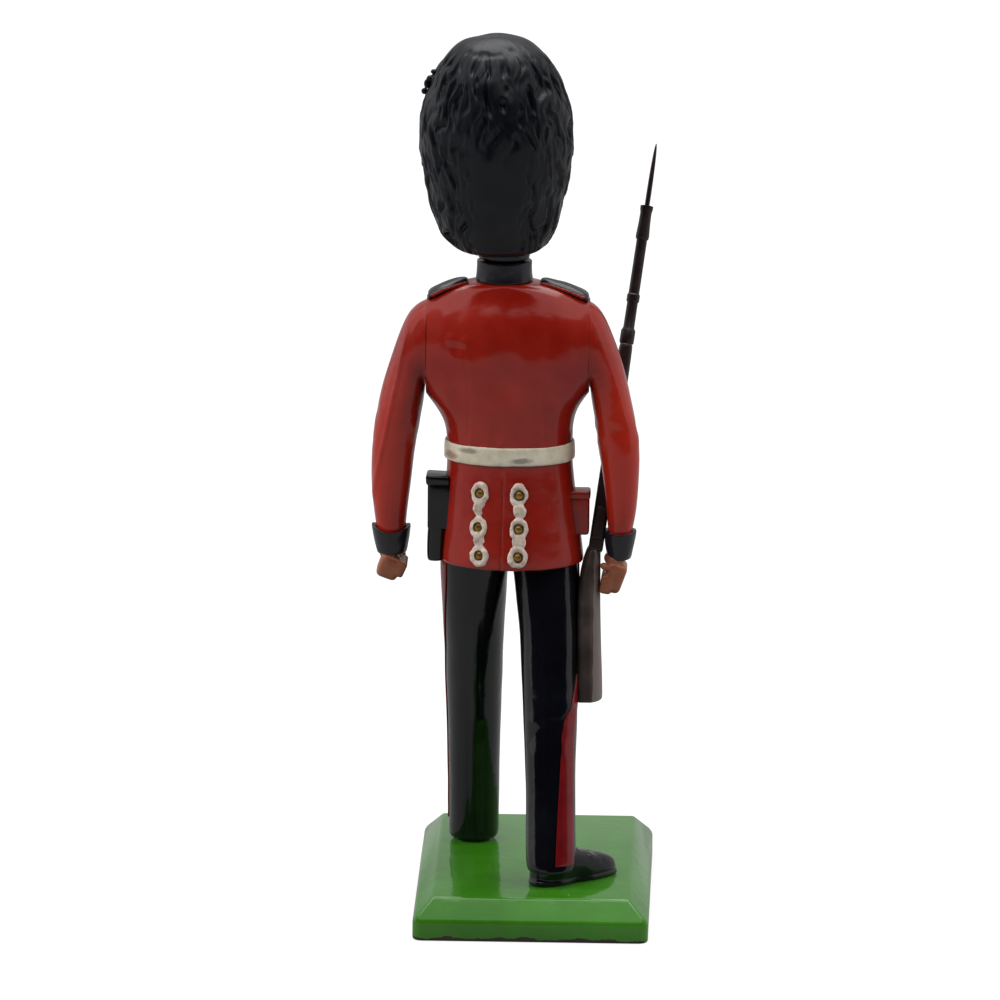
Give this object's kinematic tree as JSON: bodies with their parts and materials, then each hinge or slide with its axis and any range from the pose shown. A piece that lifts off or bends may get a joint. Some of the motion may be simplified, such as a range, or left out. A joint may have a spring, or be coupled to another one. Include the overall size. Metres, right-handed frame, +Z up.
{
  "type": "toy soldier figure",
  "caption": "Painted metal toy guardsman in a tall fur cap, standing on a bevelled stand with a rifle upright at its side. The head turns and the arms swing.",
  "frame": {"origin": "centre of the stand's underside", "axes": "+Z up, +Y the way the figure faces, +X to the figure's right"},
  "size_m": [0.0216, 0.03, 0.0679],
  "materials": {
    "red_enamel": "gloss enamel",
    "black_enamel": "gloss enamel",
    "white_enamel": "gloss enamel, worn",
    "gilt_enamel": "metallic gilt enamel",
    "flesh_enamel": "gloss enamel",
    "green_enamel": "high gloss enamel",
    "brown_enamel": "gloss enamel",
    "gunmetal_enamel": "satin enamel",
    "pin_steel": "plain drawn wire"
  },
  "bodies": {
    "figure": {"stand": "green_enamel", "left_boot": "black_enamel", "right_boot": "black_enamel", "left_trouser_leg": "black_enamel", "right_trouser_leg": "black_enamel", "left_trouser_stripe": "red_enamel", "right_trouser_stripe": "red_enamel", "tunic": "red_enamel", "collar": "black_enamel", "waist_belt": "white_enamel", "belt_clasp": "gilt_enamel", "left_shoulder_strap": "black_enamel", "right_shoulder_strap": "black_enamel", "left_tail_lace": "white_enamel", "right_tail_lace": "white_enamel", "tail_buttons": "gilt_enamel", "front_buttons": "gilt_enamel", "bayonet_frog": "black_enamel", "bayonet_scabbard": "black_enamel", "hip_lug": "red_enamel", "left_shoulder_pin": "pin_steel", "right_shoulder_pin": "pin_steel"},
    "head": {"head": "flesh_enamel", "fur_cap": "black_enamel", "chin_chain": "gilt_enamel"},
    "left_arm": {"left_sleeve": "red_enamel", "left_cuff": "black_enamel", "left_hand": "flesh_enamel"},
    "right_arm": {"right_sleeve": "red_enamel", "right_cuff": "black_enamel", "right_hand": "flesh_enamel", "rifle_butt": "brown_enamel", "rifle_receiver": "gunmetal_enamel", "rifle_magazine": "gunmetal_enamel", "rifle_fore_end": "brown_enamel", "rifle_barrel": "gunmetal_enamel", "bayonet": "gunmetal_enamel"}
  },
  "joints": [
    {"name": "neck_turn", "type": "hinge", "parent": "figure", "child": "head", "pos_m": [-0.00272, -0.00175, 0.04895], "axis": [0, 0, 1], "range_deg": [-60, 60]},
    {"name": "left_shoulder_swing", "type": "hinge", "parent": "figure", "child": "left_arm", "pos_m": [-0.00863, -0.00175, 0.04425], "axis": [1, 0, 0], "range_deg": [-60, 120]},
    {"name": "right_shoulder_swing", "type": "hinge", "parent": "figure", "child": "right_arm", "pos_m": [0.00387, -0.00175, 0.04425], "axis": [1, 0, 0], "range_deg": [-30, 90]}
  ]
}
